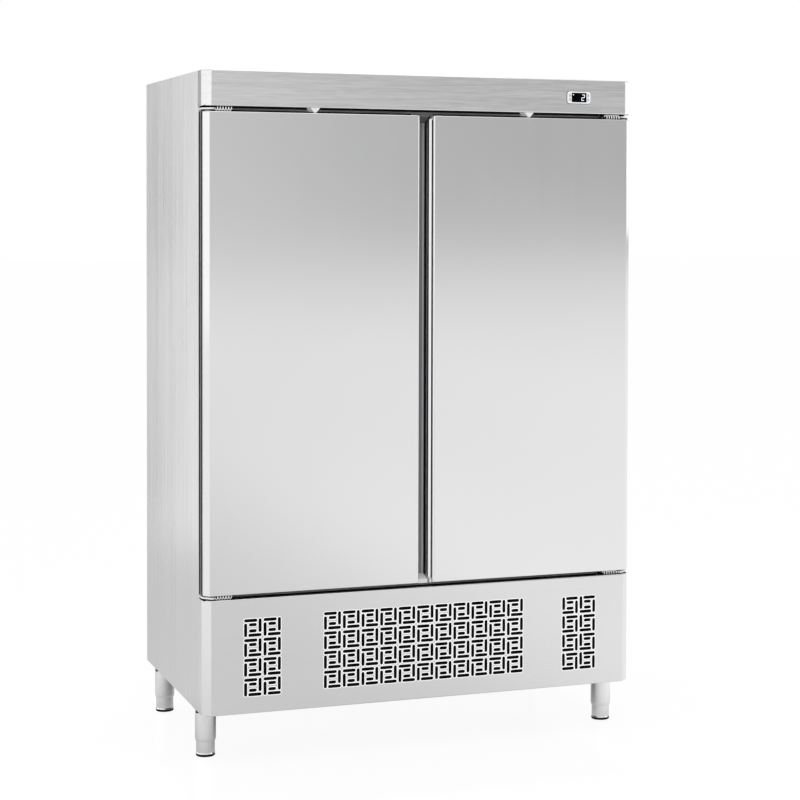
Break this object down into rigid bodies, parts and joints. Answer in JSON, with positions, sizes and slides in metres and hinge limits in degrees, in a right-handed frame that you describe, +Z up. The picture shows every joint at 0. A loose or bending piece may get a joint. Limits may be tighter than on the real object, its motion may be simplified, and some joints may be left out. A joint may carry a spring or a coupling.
{
  "type": "refrigerated cabinet",
  "caption": "Upright steel refrigerated cabinet with hinged doors, full-height grip channel, chamfered fascia with a thermostat, slotted lower panel and adjustable legs.",
  "frame": {"origin": "middle of the footprint, on the floor", "axes": "+Z up, the doors face -Y, +X to the right as seen from the front"},
  "size_m": [1.388, 0.8296, 2.067],
  "materials": {
    "side_steel": "satin",
    "top_steel": "satin",
    "back_steel": "matte",
    "tray_steel": "matte",
    "foam": "matte",
    "liner_steel": "satin",
    "strip_plastic": "satin",
    "mullion_steel": "satin",
    "fascia_steel": "satin",
    "grille_steel": "satin",
    "black_housing": "matte",
    "white_bezel": "satin",
    "display_black": "gloss",
    "key_grey": "satin",
    "compressor_black": "satin",
    "coil_aluminium": "matte",
    "shroud_black": "matte",
    "fan_black": "matte",
    "copper_pipe": "satin",
    "cover_steel": "satin",
    "pan_plastic": "satin",
    "upright_steel": "satin",
    "shelf_wire": "satin",
    "leg_steel": "satin",
    "bracket_steel": "satin",
    "gland_black": "satin",
    "tab_plastic": "satin",
    "door_steel": "satin",
    "door_pan_black": "matte",
    "gasket_black": "matte",
    "grip_aluminium": "satin",
    "cap_grey": "satin"
  },
  "bodies": {
    "cabinet": {"left_side_panel": "side_steel", "right_side_panel": "side_steel", "top_panel": "top_steel", "back_panel": "back_steel", "rear_grille": "back_steel", "base_tray": "tray_steel", "insulation_shell": "foam", "inner_liner": "liner_steel", "breaker_frame": "strip_plastic", "centre_mullion": "mullion_steel", "fascia_panel": "fascia_steel", "lower_grille_panel": "grille_steel", "controller_housing": "black_housing", "electrical_box": "black_housing", "controller_bezel": "white_bezel", "controller_display": "display_black", "compressor": "compressor_black", "condenser_coil": "coil_aluminium", "evaporator_coil": "coil_aluminium", "condenser_fan_shroud": "shroud_black", "fan_motors": "shroud_black", "refrigerant_pipes": "copper_pipe", "evaporator_cover": "cover_steel", "condensate_pan": "pan_plastic", "shelf_uprights": "upright_steel", "shelf_runners": "upright_steel", "left_shelf_top": "shelf_wire", "left_shelf_middle": "shelf_wire", "left_shelf_bottom": "shelf_wire", "right_shelf_top": "shelf_wire", "right_shelf_middle": "shelf_wire", "right_shelf_bottom": "shelf_wire", "leg_tubes": "leg_steel", "hinge_brackets": "bracket_steel", "panel_screws": "bracket_steel", "cable_gland": "gland_black", "door_contacts": "tab_plastic"},
    "left_door": {"left_door_skin": "door_steel", "left_door_foam": "foam", "left_door_liner": "door_pan_black", "left_door_gasket": "gasket_black", "left_door_handle": "grip_aluminium", "left_door_caps": "cap_grey"},
    "right_door": {"right_door_skin": "door_steel", "right_door_foam": "foam", "right_door_liner": "door_pan_black", "right_door_gasket": "gasket_black", "right_door_handle": "grip_aluminium", "right_door_caps": "cap_grey"},
    "evaporator_fan_left": {"evaporator_fan_left": "fan_black"},
    "evaporator_fan_right": {"evaporator_fan_right": "fan_black"},
    "condenser_fan": {"condenser_fan": "fan_black"},
    "key_up": {"key_up": "key_grey"},
    "key_down": {"key_down": "key_grey"},
    "key_set": {"key_set": "key_grey"},
    "key_defrost": {"key_defrost": "key_grey"},
    "foot_front_left": {"foot_front_left": "leg_steel"},
    "foot_front_right": {"foot_front_right": "leg_steel"},
    "foot_rear_left": {"foot_rear_left": "leg_steel"},
    "foot_rear_right": {"foot_rear_right": "leg_steel"}
  },
  "joints": [
    {"name": "left_door_hinge", "type": "hinge", "parent": "cabinet", "child": "left_door", "pos_m": [-0.674, -0.3772, 1.2265], "axis": [0, 0, -1], "range_deg": [0, 110]},
    {"name": "right_door_hinge", "type": "hinge", "parent": "cabinet", "child": "right_door", "pos_m": [0.674, -0.3772, 1.2265], "axis": [0, 0, 1], "range_deg": [0, 110]},
    {"name": "key_up_press", "type": "slide", "parent": "cabinet", "child": "key_up", "axis": [0, 1, 0], "range_m": [0, 0.001], "stiffness_N_per_m": 300},
    {"name": "key_down_press", "type": "slide", "parent": "cabinet", "child": "key_down", "axis": [0, 1, 0], "range_m": [0, 0.001], "stiffness_N_per_m": 300},
    {"name": "key_set_press", "type": "slide", "parent": "cabinet", "child": "key_set", "axis": [0, 1, 0], "range_m": [0, 0.001], "stiffness_N_per_m": 300},
    {"name": "key_defrost_press", "type": "slide", "parent": "cabinet", "child": "key_defrost", "axis": [0, 1, 0], "range_m": [0, 0.001], "stiffness_N_per_m": 300},
    {"name": "evaporator_fan_left_spin", "type": "hinge", "parent": "cabinet", "child": "evaporator_fan_left", "pos_m": [-0.27, 0.1488, 1.883], "axis": [0, 0, 1], "continuous": true},
    {"name": "evaporator_fan_right_spin", "type": "hinge", "parent": "cabinet", "child": "evaporator_fan_right", "pos_m": [0.27, 0.1488, 1.883], "axis": [0, 0, 1], "continuous": true},
    {"name": "condenser_fan_spin", "type": "hinge", "parent": "cabinet", "child": "condenser_fan", "pos_m": [0, -0.2232, 0.306], "axis": [0, 1, 0], "continuous": true},
    {"name": "foot_front_left_height", "type": "slide", "parent": "cabinet", "child": "foot_front_left", "axis": [0, 0, -1], "range_m": [0, 0.04]},
    {"name": "foot_front_right_height", "type": "slide", "parent": "cabinet", "child": "foot_front_right", "axis": [0, 0, -1], "range_m": [0, 0.04]},
    {"name": "foot_rear_left_height", "type": "slide", "parent": "cabinet", "child": "foot_rear_left", "axis": [0, 0, -1], "range_m": [0, 0.04]},
    {"name": "foot_rear_right_height", "type": "slide", "parent": "cabinet", "child": "foot_rear_right", "axis": [0, 0, -1], "range_m": [0, 0.04]}
  ]
}
